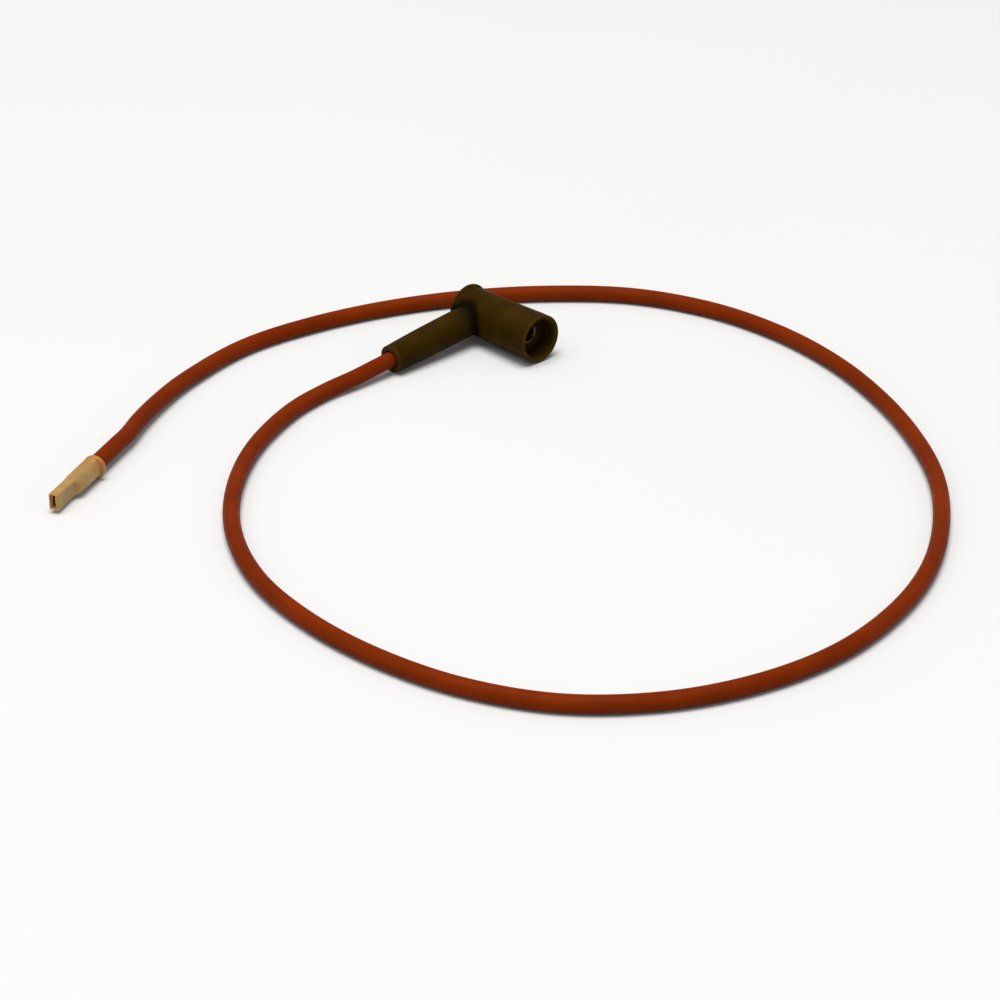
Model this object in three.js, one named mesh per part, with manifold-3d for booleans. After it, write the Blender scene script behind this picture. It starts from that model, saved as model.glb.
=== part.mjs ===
// Flame-sense lead for a boiler: a round silicone lead lying in one loose loop.
// One end carries a right-angle rubber boot over a snap socket for a 6.35 mm stud, and the other end
// carries a push-on receptacle for a 4.8 mm tab under a nylon cover that slides back along the lead.
// Millimetres, +Z up. The origin is under the middle of the boot, on the surface that the lead lies on.
// +X is the way the boot's mouth faces, and its cable sleeve leaves toward -Y.

import * as THREE from "three";
import { mergeVertices } from "three/addons/utils/BufferGeometryUtils.js";
import Module from "manifold-3d";

const wasm = await Module();
wasm.setup();

const DEG = Math.PI / 180;

// ---------------------------------------------------------------- driving dimensions

// Lead: stranded conductor, insulation, glass braid and outer jacket.
const JACKET_R = 3.5;
const BRAID_R = 2.5;
const INSULATION_R = 1.1;
const STRAND_R = 0.25;
const STRAND_PITCH_R = 0.56;
const STRAND_COUNT = 7;
const TOUCH_GAP = 0.3; // between pieces that meet face to face
const LEAD_REST_Z = 3.6; // centre line of the lead where it lies on the surface

// Boot barrel, along X. Its widest ring is the bead at the closed rear end.
const BARREL_LENGTH = 47.0;
const BARREL_BEAD_R = 11.3;
const BARREL_REAR_R = 10.0;
const BARREL_MOUTH_R = 10.9;
const MOUTH_BORE_R = 8.6;
const MOUTH_BORE_DEPTH = 8.1;
const MOUTH_CHAMFER_DEPTH = 1.4;
const MOUTH_CHAMFER_R = 10.0;
const SEAT_R = 4.9;
const SEAT_BACK_X = 1.6; // the socket's seat narrows to the chamber here
const CHAMBER_R = 4.0;

// Boot sleeve, from the barrel's axis down toward the surface.
const SLEEVE_ROOT_R = 7.0;
const SLEEVE_STRAIGHT = 12; // the root stays round this far from the elbow
const SLEEVE_MIDDLE = 36;
const SLEEVE_MIDDLE_R = 6.8;
const SLEEVE_END_R = 6.2;
const SLEEVE_BORE_R = 3.85;
const SLEEVE_PITCH = 5 * DEG;
const SLEEVE_FROM_MOUTH = 38.05;

// Snap socket inside the boot.
const STUD_R = 3.2;
const SOCKET_R = 4.6;
const SOCKET_FLOOR = 1.2;
const GROOVE_R = 3.75;
const SPRING_WIRE_R = 0.35;
const SPRING_RING_R = 4.37;

// Nylon cover and receptacle, along the cover's own axis from its tip.
const COVER_LENGTH = 34.3;
const COVER_AXIS_Z = 5.2;
const COVER_TIP = new THREE.Vector3(-11.5, -217.3, COVER_AXIS_Z);
const COVER_HEADING = -64.7 * DEG; // the way the tip points, seen from above
const NOSE_LENGTH = 15.8;
const NOSE_THICK = 4.2;
const NOSE_TALL = 7.2;
const NOSE_OFFSET = 0.45; // the nose and the receptacle lie this far to one side of the lead
const COVER_FRONT_R = 4.3;
const COVER_REAR_R = 4.4;
const COVER_BORE_R = 3.9;
const POCKET_THICK = 3.4;
const POCKET_TALL = 5.9;
const POCKET_NARROW_END = 14.4; // from here to its end the pocket is wider toward the lead's axis
const POCKET_WIDER_BY = 0.3;
const POCKET_LENGTH = 17.4;
const TIP_WALL = 1.2; // depth of the narrower opening in the tip, which the receptacle just passes
const TIP_OPENING_THICK = 2.4;
const TIP_OPENING_TALL = 5.9;
const COLLAR_LENGTH = 1.8;
const COLLAR_HALF_THICK = 5.0;
const COLLAR_HALF_TALL = 5.1;
const COLLAR_OFFSET = -0.75; // it stands out on one side only
const SHEET = 0.3; // the receptacle's metal
const TAB_GAP = 0.9; // between its base and its rolled edges

// ---------------------------------------------------------------- derived places

const MOUTH_X = BARREL_LENGTH / 2;
const REAR_X = -BARREL_LENGTH / 2;
const SLEEVE_X = MOUTH_X - SLEEVE_FROM_MOUTH;
const AXIS_Z = BARREL_BEAD_R; // the bead rests on the surface
const BOOT_HALF_WIDTH = 33.4; // half of the boot from the bead to the sleeve's end, along Y
const AXIS_Y = BOOT_HALF_WIDTH - BARREL_BEAD_R;
const SLEEVE_LENGTH =
  (AXIS_Y + BOOT_HALF_WIDTH - SLEEVE_END_R * Math.sin(SLEEVE_PITCH)) / Math.cos(SLEEVE_PITCH);

const ELBOW = new THREE.Vector3(SLEEVE_X, AXIS_Y, AXIS_Z); // where the two axes cross
const SLEEVE_WAY = new THREE.Vector3(0, -Math.cos(SLEEVE_PITCH), -Math.sin(SLEEVE_PITCH));
const COVER_BACK = new THREE.Vector3(-Math.cos(COVER_HEADING), -Math.sin(COVER_HEADING), 0);

const onSleeve = (distance) => ELBOW.clone().addScaledVector(SLEEVE_WAY, distance);
const onCoverAxis = (distance) => COVER_TIP.clone().addScaledVector(COVER_BACK, distance);

// The lead's route from the sleeve's end, round the loop and on to the back of the cover.
const ROUTE = [
  onSleeve(SLEEVE_LENGTH + TOUCH_GAP),
  onSleeve(SLEEVE_LENGTH + 10),
  onSleeve(SLEEVE_LENGTH + 20),
  new THREE.Vector3(-15, -71, LEAD_REST_Z),
  new THREE.Vector3(-11, -92.5, LEAD_REST_Z),
  new THREE.Vector3(4, -126, LEAD_REST_Z),
  new THREE.Vector3(27, -156, LEAD_REST_Z),
  new THREE.Vector3(55.5, -180, LEAD_REST_Z),
  new THREE.Vector3(90.5, -197, LEAD_REST_Z),
  new THREE.Vector3(127, -204, LEAD_REST_Z),
  new THREE.Vector3(165, -203.5, LEAD_REST_Z),
  new THREE.Vector3(203, -195, LEAD_REST_Z),
  new THREE.Vector3(236, -177, LEAD_REST_Z),
  new THREE.Vector3(261, -148.5, LEAD_REST_Z),
  new THREE.Vector3(276, -114.5, LEAD_REST_Z),
  new THREE.Vector3(281.5, -77.5, LEAD_REST_Z),
  new THREE.Vector3(276.5, -38.5, LEAD_REST_Z),
  new THREE.Vector3(264, -4, LEAD_REST_Z),
  new THREE.Vector3(243.5, 28.5, LEAD_REST_Z),
  new THREE.Vector3(218, 56.5, LEAD_REST_Z),
  new THREE.Vector3(187.5, 79, LEAD_REST_Z),
  new THREE.Vector3(153.5, 97, LEAD_REST_Z),
  new THREE.Vector3(118, 109.5, LEAD_REST_Z),
  new THREE.Vector3(80.5, 115, LEAD_REST_Z),
  new THREE.Vector3(42.5, 111.5, LEAD_REST_Z),
  new THREE.Vector3(7.5, 97, LEAD_REST_Z),
  new THREE.Vector3(-20.5, 72, LEAD_REST_Z),
  new THREE.Vector3(-43, 42, LEAD_REST_Z),
  new THREE.Vector3(-60, 8, LEAD_REST_Z),
  new THREE.Vector3(-70.5, -28, LEAD_REST_Z),
  new THREE.Vector3(-74, -65.5, LEAD_REST_Z),
  new THREE.Vector3(-65, -107, 4.0),
  new THREE.Vector3(-54.5, -132, 4.6),
  new THREE.Vector3(-46.5, -147, 5.0),
  onCoverAxis(64),
  onCoverAxis(55),
  onCoverAxis(46),
  onCoverAxis(COVER_LENGTH + TOUCH_GAP),
];
const LEAD_STEPS = 80;
const LEAD_SIDES = 10;

// ---------------------------------------------------------------- materials

const material = (color, roughness, metalness = 0) =>
  new THREE.MeshStandardMaterial({ color, roughness, metalness });

const bootRubber = material(0x2a2412, 0.55);
const jacketSilicone = material(0x8c3512, 0.6);
const glassBraid = material(0xd9d2c0, 0.9);
const innerSilicone = material(0xe6e2da, 0.6);
const tinnedCopper = material(0xc4c0b8, 0.35, 1);
const springSteel = material(0xa8a9ab, 0.3, 1);
const platedBrass = material(0xcdbf93, 0.35, 1);
const coverNylon = material(0xc9b182, 0.45);

// ---------------------------------------------------------------- solids

// A closed geometry as a solid for joining and cutting, and back again.
function solid(geometry) {
  const bare = new THREE.BufferGeometry();
  bare.setAttribute("position", geometry.getAttribute("position"));
  if (geometry.index) bare.setIndex(geometry.index);
  const merged = mergeVertices(bare, 1e-4);
  return new wasm.Manifold(
    new wasm.Mesh({
      numProp: 3,
      vertProperties: merged.attributes.position.array,
      triVerts: new Uint32Array(merged.index.array),
    }),
  );
}

function geometryOf(manifold) {
  const mesh = manifold.getMesh();
  const positions = new THREE.BufferAttribute(new Float32Array(mesh.vertProperties), 3);
  return new THREE.BufferGeometry()
    .setAttribute("position", positions)
    .setIndex(new THREE.BufferAttribute(new Uint32Array(mesh.triVerts), 1));
}

// A round body turned about the X axis. Its profile is a list of [x, radius] along increasing x.
function turned(profile, segments) {
  const points = profile.map(([x, radius]) => new THREE.Vector2(radius, x));
  return new THREE.LatheGeometry(points, segments).rotateZ(-Math.PI / 2);
}

// The same body laid along the way from one point toward another, its x measured from the first.
function turnedAlong(profile, from, way, segments) {
  const turn = new THREE.Quaternion().setFromUnitVectors(new THREE.Vector3(1, 0, 0), way);
  return turned(profile, segments)
    .applyQuaternion(turn)
    .translate(from.x, from.y, from.z);
}

const rod = (x0, x1, radius) => [
  [x0, 0],
  [x0, radius],
  [x1, radius],
  [x1, 0],
];

// A tube or wire of round section along a curve.
function swept(curve, radius, sides, steps) {
  const section = new THREE.Shape();
  for (let i = 0; i < sides; i++) {
    const angle = (2 * Math.PI * (i + 0.5)) / sides;
    const x = radius * Math.cos(angle);
    const y = radius * Math.sin(angle);
    if (i === 0) section.moveTo(x, y);
    else section.lineTo(x, y);
  }
  section.closePath();
  return new THREE.ExtrudeGeometry(section, { steps, extrudePath: curve, bevelEnabled: false });
}

// A prism along X between x0 and x1, from an outline of [y, z] points.
function prism(outline, x0, x1) {
  const shape = new THREE.Shape(outline.map(([y, z]) => new THREE.Vector2(y, z)));
  return new THREE.ExtrudeGeometry(shape, { depth: x1 - x0, bevelEnabled: false })
    .applyMatrix4(new THREE.Matrix4().makeBasis(
      new THREE.Vector3(0, 1, 0),
      new THREE.Vector3(0, 0, 1),
      new THREE.Vector3(1, 0, 0),
    ))
    .translate(x0, 0, 0);
}

const slab = (x0, x1, thick, tall, y = 0, z = 0) =>
  new THREE.BoxGeometry(x1 - x0, thick, tall).translate((x0 + x1) / 2, y, z);

function chamferedOutline(thick, tall, chamfer) {
  const y = thick / 2;
  const z = tall / 2;
  return [
    [-y, -z + chamfer],
    [-y + chamfer, -z],
    [y - chamfer, -z],
    [y, -z + chamfer],
    [y, z - chamfer],
    [y - chamfer, z],
    [-y + chamfer, z],
    [-y, z - chamfer],
  ];
}

function oval(halfThick, halfTall, corners) {
  return Array.from({ length: corners }, (_, i) => {
    const angle = (2 * Math.PI * i) / corners;
    return [halfThick * Math.cos(angle), halfTall * Math.sin(angle)];
  });
}

const part = new THREE.Group();

function place(group, name, geometry, look) {
  const mesh = new THREE.Mesh(geometry, look);
  mesh.name = name;
  group.add(mesh);
  return mesh;
}

// The stripped end of the lead shows its strands: one in the middle and six round it.
function placeStrands(group, prefix, x0, x1) {
  for (let i = 0; i < STRAND_COUNT; i++) {
    const ring = i === 0 ? 0 : STRAND_PITCH_R;
    const angle = (2 * Math.PI * i) / (STRAND_COUNT - 1);
    const strand = turned(rod(x0, x1, STRAND_R), 8);
    const mesh = place(group, `${prefix}_strand_${i + 1}`, strand, tinnedCopper);
    mesh.position.set(0, ring * Math.cos(angle), ring * Math.sin(angle));
  }
}

// ---------------------------------------------------------------- boot

function elbowBoot() {
  const barrel = turned(
    [
      [REAR_X, 0],
      [REAR_X, BARREL_BEAD_R - 1.4],
      [REAR_X + 0.3, BARREL_BEAD_R - 0.4],
      [REAR_X + 0.8, BARREL_BEAD_R],
      [REAR_X + 1.2, BARREL_BEAD_R],
      [REAR_X + 2.0, BARREL_REAR_R + 0.6],
      [REAR_X + 3.2, BARREL_REAR_R],
      [MOUTH_X - 4, BARREL_MOUTH_R],
      [MOUTH_X - 0.6, BARREL_MOUTH_R],
      [MOUTH_X - 0.2, BARREL_MOUTH_R - 0.2],
      [MOUTH_X, BARREL_MOUTH_R - 0.5],
      [MOUTH_X, 0],
    ],
    48,
  ).translate(0, AXIS_Y, AXIS_Z);
  const sleeve = turnedAlong(
    [
      [0, 0],
      [0, SLEEVE_ROOT_R],
      [SLEEVE_STRAIGHT, SLEEVE_ROOT_R],
      [SLEEVE_MIDDLE, SLEEVE_MIDDLE_R],
      [SLEEVE_LENGTH, SLEEVE_END_R],
      [SLEEVE_LENGTH, 0],
    ],
    ELBOW,
    SLEEVE_WAY,
    40,
  );
  const barrelBore = turned(
    [
      [SLEEVE_X - CHAMBER_R, 0],
      [SLEEVE_X - CHAMBER_R, CHAMBER_R],
      [SEAT_BACK_X, CHAMBER_R],
      [SEAT_BACK_X, SEAT_R],
      [MOUTH_X - MOUTH_BORE_DEPTH, SEAT_R],
      [MOUTH_X - MOUTH_BORE_DEPTH, MOUTH_BORE_R],
      [MOUTH_X - MOUTH_CHAMFER_DEPTH, MOUTH_BORE_R],
      [MOUTH_X, MOUTH_CHAMFER_R],
      [MOUTH_X + 1, MOUTH_CHAMFER_R],
      [MOUTH_X + 1, 0],
    ],
    40,
  ).translate(0, AXIS_Y, AXIS_Z);
  const sleeveBore = turnedAlong(rod(0, SLEEVE_LENGTH + 1, SLEEVE_BORE_R), ELBOW, SLEEVE_WAY, 32);
  return geometryOf(
    solid(barrel).add(solid(sleeve)).subtract(solid(barrelBore)).subtract(solid(sleeveBore)),
  );
}

// ---------------------------------------------------------------- snap socket

const SOCKET_FRONT_X = MOUTH_X - MOUTH_BORE_DEPTH + 0.4; // it stands out of its seat a little
const SOCKET_BACK_X = 2.2;
const CRIMP_BACK_X = -3.4;
const GROOVE_X = 8.4;
const GROOVE_HALF = 0.8;
const CRIMP_BORE_FLOOR_X = 1.2;
const CRIMP_BORE_R = 1.1;
const CRIMP_TAIL_R = 2.2;
const SAW_CUT = 0.8;

function snapSocket() {
  const body = turned(
    [
      [CRIMP_BORE_FLOOR_X, 0],
      [CRIMP_BORE_FLOOR_X, CRIMP_BORE_R],
      [CRIMP_BACK_X, CRIMP_BORE_R],
      [CRIMP_BACK_X, CRIMP_TAIL_R],
      [SOCKET_BACK_X, CRIMP_TAIL_R],
      [SOCKET_BACK_X, SOCKET_R - 0.4],
      [SOCKET_BACK_X + 0.4, SOCKET_R],
      [GROOVE_X - GROOVE_HALF, SOCKET_R],
      [GROOVE_X - GROOVE_HALF, GROOVE_R],
      [GROOVE_X + GROOVE_HALF, GROOVE_R],
      [GROOVE_X + GROOVE_HALF, SOCKET_R],
      [SOCKET_FRONT_X - 0.3, SOCKET_R],
      [SOCKET_FRONT_X, SOCKET_R - 0.3],
      [SOCKET_FRONT_X, STUD_R + 0.4],
      [SOCKET_FRONT_X - 0.6, STUD_R],
      [SOCKET_BACK_X + SOCKET_FLOOR, STUD_R],
      [SOCKET_BACK_X + SOCKET_FLOOR, 0],
    ],
    40,
  );
  // Two saw cuts across the mouth leave four springy fingers.
  const cutBack = GROOVE_X - 2;
  const cutFront = SOCKET_FRONT_X + 1;
  const cut = (turn) => solid(slab(cutBack, cutFront, SAW_CUT, 3 * SOCKET_R).rotateX(turn));
  return geometryOf(solid(body).subtract(cut(45 * DEG)).subtract(cut(-45 * DEG)));
}

// A ring of wire in the socket's groove, open by a sixth, that squeezes the fingers on to the stud.
function retainingSpring() {
  const points = [];
  for (let i = 0; i <= 12; i++) {
    const angle = (30 + 25 * i) * DEG;
    const y = SPRING_RING_R * Math.cos(angle);
    const z = SPRING_RING_R * Math.sin(angle);
    points.push(new THREE.Vector3(GROOVE_X, y, z));
  }
  return swept(new THREE.CatmullRomCurve3(points), SPRING_WIRE_R, 8, 30);
}

// ---------------------------------------------------------------- lead inside the boot

const JACKET_CUT = 13; // from the elbow, along the sleeve
const BRAID_CUT = 10.5;
const WIRE_START = BRAID_CUT - TOUCH_GAP;
const WIRE_END_X = CRIMP_BACK_X - 0.3;

function bootInsulation() {
  const end = new THREE.Vector3(WIRE_END_X, AXIS_Y, AXIS_Z);
  const bend = new THREE.QuadraticBezierCurve3(onSleeve(WIRE_START), ELBOW, end);
  return swept(bend, INSULATION_R, 12, 14);
}

// ---------------------------------------------------------------- receptacle and cover

// Both are drawn along X from the cover's tip, thick along Y and tall along Z.
const BLADE_BOX = [1.3, 7.7];
const CONDUCTOR_CRIMP = [10.0, 13.4];
const CONDUCTOR_CRIMP_R = 1.36;
const INSULATION_CRIMP = [14.8, 18.4];
const INSULATION_CRIMP_R = 1.55;
const BOX_THICK = 2.0;
const BOX_HALF_TALL = 2.75;
const BOX_CORNER = 0.5;
const BOX_INNER_CORNER = 0.3;
const LIP_Z = 0.5; // half the gap between the two rolled edges
const BASE_Y = CONDUCTOR_CRIMP_R; // outside of the base, level with the crimp
const BOX_FAR_Y = BASE_Y - BOX_THICK;
const NECK_WIDTH = 1.6;
const NECK_OVERLAP = 0.5; // how far each neck runs into what it joins

function receptacle() {
  const lipEnd = BASE_Y - SHEET - TAB_GAP;
  const inside = BOX_FAR_Y + SHEET;
  // The upper edge, rolled over from the base, its lip pressed back toward it. The lower mirrors it.
  const edge = [
    [BASE_Y, BOX_HALF_TALL],
    [BOX_FAR_Y + BOX_CORNER, BOX_HALF_TALL],
    [BOX_FAR_Y, BOX_HALF_TALL - BOX_CORNER],
    [BOX_FAR_Y, LIP_Z],
    [lipEnd, LIP_Z],
    [lipEnd, LIP_Z + SHEET],
    [inside, LIP_Z + SHEET],
    [inside, BOX_HALF_TALL - SHEET - BOX_INNER_CORNER],
    [inside + BOX_INNER_CORNER, BOX_HALF_TALL - SHEET],
    [BASE_Y - SHEET, BOX_HALF_TALL - SHEET],
  ];
  const mirrored = edge.map(([y, z]) => [y, -z]).reverse();
  const box = prism([...edge, ...mirrored], ...BLADE_BOX);
  const neck = (from, to, y) =>
    slab(from[1] - NECK_OVERLAP, to[0] + NECK_OVERLAP, SHEET, NECK_WIDTH, y);
  const frontNeck = neck(BLADE_BOX, CONDUCTOR_CRIMP, BASE_Y - SHEET / 2);
  const rearNeck = neck(CONDUCTOR_CRIMP, INSULATION_CRIMP, INSULATION_CRIMP_R - SHEET / 2);
  const ringOf = ([x0, x1], inner, outer) =>
    solid(turned(rod(x0, x1, outer), 20)).subtract(solid(turned(rod(x0 - 1, x1 + 1, inner), 20)));
  return geometryOf(
    solid(box)
      .add(solid(frontNeck))
      .add(solid(rearNeck))
      .add(ringOf(CONDUCTOR_CRIMP, CONDUCTOR_CRIMP_R - SHEET, CONDUCTOR_CRIMP_R))
      .add(ringOf(INSULATION_CRIMP, INSULATION_CRIMP_R - SHEET, INSULATION_CRIMP_R)),
  );
}

function terminalCover() {
  const nose = prism(chamferedOutline(NOSE_THICK, NOSE_TALL, 0.7), 0, NOSE_LENGTH)
    .translate(0, NOSE_OFFSET, 0);
  const bodyStart = NOSE_LENGTH - 1.6;
  const collarStart = COVER_LENGTH - COLLAR_LENGTH;
  const body = turned(
    [
      [bodyStart, 0],
      [bodyStart, COVER_FRONT_R - 0.6],
      [bodyStart + 1, COVER_FRONT_R],
      [collarStart, COVER_REAR_R],
      [collarStart, 0],
    ],
    32,
  );
  const collar = prism(oval(COLLAR_HALF_THICK, COLLAR_HALF_TALL, 32), collarStart, COVER_LENGTH)
    .translate(0, COLLAR_OFFSET, 0);
  const overlap = 0.1; // the cavities run into each other by this much
  const pocket = slab(TIP_WALL, POCKET_LENGTH, POCKET_THICK, POCKET_TALL, NOSE_OFFSET);
  const widerPocket = slab(
    POCKET_NARROW_END, POCKET_LENGTH, POCKET_THICK + POCKET_WIDER_BY, POCKET_TALL,
    NOSE_OFFSET - POCKET_WIDER_BY / 2,
  );
  const opening = slab(
    -1, TIP_WALL + overlap, TIP_OPENING_THICK, TIP_OPENING_TALL,
    NOSE_OFFSET + BASE_Y - BOX_THICK / 2,
  );
  const bore = turned(
    [
      [POCKET_LENGTH - overlap, 0],
      [POCKET_LENGTH - overlap, COVER_BORE_R],
      [COVER_LENGTH - 1, COVER_BORE_R],
      [COVER_LENGTH + 0.5, COVER_BORE_R + 0.6],
      [COVER_LENGTH + 0.5, 0],
    ],
    32,
  );
  return geometryOf(
    solid(nose)
      .add(solid(body))
      .add(solid(collar))
      .subtract(solid(pocket))
      .subtract(solid(widerPocket))
      .subtract(solid(opening))
      .subtract(solid(bore)),
  );
}

// ---------------------------------------------------------------- assembly

place(part, "elbow_boot", elbowBoot(), bootRubber);

const socketGroup = new THREE.Group();
socketGroup.position.set(0, AXIS_Y, AXIS_Z);
place(socketGroup, "snap_socket", snapSocket(), platedBrass);
place(socketGroup, "retaining_spring", retainingSpring(), springSteel);
placeStrands(socketGroup, "boot", CRIMP_BACK_X, CRIMP_BORE_FLOOR_X - 0.4);
part.add(socketGroup);

const bootJacket = turnedAlong(rod(JACKET_CUT, SLEEVE_LENGTH, JACKET_R), ELBOW, SLEEVE_WAY, 32);
const bootBraid = turnedAlong(
  rod(BRAID_CUT, JACKET_CUT - TOUCH_GAP, BRAID_R), ELBOW, SLEEVE_WAY, 24,
);
place(part, "boot_lead_jacket", bootJacket, jacketSilicone);
place(part, "boot_lead_braid", bootBraid, glassBraid);
place(part, "boot_lead_insulation", bootInsulation(), innerSilicone);

const leadCurve = new THREE.CatmullRomCurve3(ROUTE, false, "centripetal");
place(part, "free_lead", swept(leadCurve, JACKET_R, LEAD_SIDES, LEAD_STEPS), jacketSilicone);

// The tail of the lead, drawn along X from the cover's tip like the cover itself.
const TAIL_JACKET_CUT = 27;
const TAIL_BRAID_CUT = 26;
const TAIL_WIRE_CUT = 14.4;

// The bared wire runs straight out of the crimp, then slants over to the lead's axis.
function tailInsulation() {
  const path = [
    new THREE.Vector3(TAIL_WIRE_CUT, NOSE_OFFSET, 0),
    new THREE.Vector3(INSULATION_CRIMP[1] + 0.4, NOSE_OFFSET, 0),
    new THREE.Vector3((INSULATION_CRIMP[1] + TAIL_BRAID_CUT) / 2, NOSE_OFFSET / 2, 0),
    new THREE.Vector3(TAIL_BRAID_CUT - TOUCH_GAP, 0, 0),
  ];
  return swept(new THREE.CatmullRomCurve3(path, false, "centripetal"), INSULATION_R, 12, 8);
}

const tail = new THREE.Group();
tail.position.copy(COVER_TIP);
tail.rotation.z = COVER_HEADING + Math.PI;
place(tail, "terminal_cover", terminalCover(), coverNylon);
place(tail, "tail_lead_insulation", tailInsulation(), innerSilicone);
const tailBraid = rod(TAIL_BRAID_CUT, TAIL_JACKET_CUT - TOUCH_GAP, BRAID_R);
place(tail, "tail_lead_braid", turned(tailBraid, 24), glassBraid);
place(tail, "tail_lead_jacket", turned(rod(TAIL_JACKET_CUT, COVER_LENGTH, JACKET_R), 24), jacketSilicone);

const inNose = new THREE.Group();
inNose.position.y = NOSE_OFFSET;
place(inNose, "receptacle", receptacle(), platedBrass);
placeStrands(inNose, "tail", CONDUCTOR_CRIMP[0] - 0.4, TAIL_WIRE_CUT - TOUCH_GAP);
tail.add(inNose);
part.add(tail);

export default part;
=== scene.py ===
"""Looks of a boiler's flame-sense lead: a round silicone lead in one loose loop, with a right-angle
rubber boot at one end and a push-on receptacle under a sliding nylon cover at the other.
Metres, +Z up. +X is the way the boot's mouth faces, and its sleeve leaves toward -Y."""

import math

import bmesh
import bpy
import numpy as np
from mathutils import Matrix, Vector


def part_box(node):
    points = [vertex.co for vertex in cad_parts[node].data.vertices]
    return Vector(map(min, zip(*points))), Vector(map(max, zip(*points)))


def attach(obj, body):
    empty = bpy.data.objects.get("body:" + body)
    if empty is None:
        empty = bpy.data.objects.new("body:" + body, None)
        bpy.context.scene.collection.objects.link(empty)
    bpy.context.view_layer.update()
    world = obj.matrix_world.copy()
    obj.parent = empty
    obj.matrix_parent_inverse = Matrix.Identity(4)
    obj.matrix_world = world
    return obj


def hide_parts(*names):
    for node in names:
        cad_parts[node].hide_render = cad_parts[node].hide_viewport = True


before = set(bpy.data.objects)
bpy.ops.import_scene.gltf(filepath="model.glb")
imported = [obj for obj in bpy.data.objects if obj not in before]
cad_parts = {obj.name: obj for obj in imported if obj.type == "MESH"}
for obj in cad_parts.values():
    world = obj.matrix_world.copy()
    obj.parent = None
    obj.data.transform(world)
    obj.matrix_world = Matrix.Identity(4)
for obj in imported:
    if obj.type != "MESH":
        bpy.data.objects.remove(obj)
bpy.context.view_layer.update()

MM = 0.001
TURN = 2 * math.pi

# ---------------------------------------------------------------- places taken from the frame

boot_low, boot_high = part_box("elbow_boot")
BEAD_R = (boot_high.z - boot_low.z) / 2
MOUTH_X, REAR_X = boot_high.x, boot_low.x
AXIS_Y, AXIS_Z = boot_high.y - BEAD_R, boot_low.z + BEAD_R

# ---------------------------------------------------------------- driving dimensions

JACKET_R = 3.5 * MM
INSULATION_R = 1.1 * MM
STRAND_R = 0.25 * MM
STRAND_PITCH_R = 0.56 * MM
STRAND_COUNT = 7
LEAD_REST_Z = 3.6 * MM

BARREL_REAR_R = 10.0 * MM
BARREL_MOUTH_R = 10.9 * MM
MOUTH_BORE_R = 8.6 * MM
MOUTH_BORE_DEPTH = 8.1 * MM
MOUTH_CHAMFER_DEPTH = 1.4 * MM
MOUTH_CHAMFER_R = 10.0 * MM
SEAT_R = 4.9 * MM
SEAT_BACK_X = 1.6 * MM
CHAMBER_R = 4.0 * MM
SEALING_RIB_DEPTHS = (2.9 * MM, 5.0 * MM)
SEALING_RIB_HEIGHT = 0.3 * MM
SEALING_RIB_WIDTH = 0.8 * MM
BARREL_MOULD_LINE = 0.12 * MM
SLEEVE_MOULD_LINE = 0.1 * MM

SLEEVE_ROOT_R = 7.0 * MM
SLEEVE_END_R = 6.2 * MM
SLEEVE_STRAIGHT = 12 * MM
SLEEVE_BORE_R = 3.85 * MM
SLEEVE_PITCH = math.radians(5)
SLEEVE_X = MOUTH_X - 38.05 * MM
SLEEVE_LENGTH = (AXIS_Y - boot_low.y - SLEEVE_END_R * math.sin(SLEEVE_PITCH)) / math.cos(SLEEVE_PITCH)

COVER_LENGTH = 34.3 * MM
COVER_TIP = Vector((-11.5, -217.3, 5.2)) * MM
COVER_HEADING = math.radians(-64.7)
NOSE_LENGTH = 15.8 * MM
NOSE_OFFSET = 0.45 * MM
POCKET_LENGTH = 17.4 * MM
COLLAR_LENGTH = 1.8 * MM
COLLAR_OFFSET = -0.75 * MM

# The receptacle. Its spans are distances back from the cover's tip.
SHEET = 0.3 * MM
CRIMP_R = 1.36 * MM
GRIP_R = 1.55 * MM
BOX_THICK = 2.0 * MM
BOX_HALF_TALL = 2.75 * MM
BOX_SPAN = (1.3 * MM, 7.7 * MM)
CRIMP_SPAN = (10 * MM, 13.4 * MM)
GRIP_SPAN = (14.8 * MM, 18.4 * MM)

ELBOW = Vector((SLEEVE_X, AXIS_Y, AXIS_Z))
SLEEVE_WAY = Vector((0, -math.cos(SLEEVE_PITCH), -math.sin(SLEEVE_PITCH)))
COVER_BACK = Vector((-math.cos(COVER_HEADING), -math.sin(COVER_HEADING), 0))
COVER_SIDE = Vector((0, 0, 1)).cross(COVER_BACK)


def on_sleeve(distance):
    return ELBOW + SLEEVE_WAY * distance


def on_cover_axis(distance, aside=0.0):
    return COVER_TIP + COVER_BACK * distance + COVER_SIDE * aside


# Where the lead's layers are cut. In the boot the distances run from the elbow along the sleeve's axis,
# and in the cover they run back from its tip.
BOOT_JACKET_CUT = 13 * MM
BOOT_BRAID_SPAN = (10.5 * MM, 12.7 * MM)
BOOT_INSULATION_FROM = 10.2 * MM
TAIL_STRAND_SPAN = (9.6 * MM, 14.1 * MM)
TAIL_INSULATION_SPAN = (14.4 * MM, 25.7 * MM)
TAIL_BRAID_SPAN = (26.0 * MM, 26.7 * MM)
TAIL_JACKET_CUT = 27 * MM

# How far inside the sleeve's end the lead's long piece and its piece in the boot meet, and their gap.
BOOT_JOIN = 12 * MM
JOIN_GAP = 0.3 * MM

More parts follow.
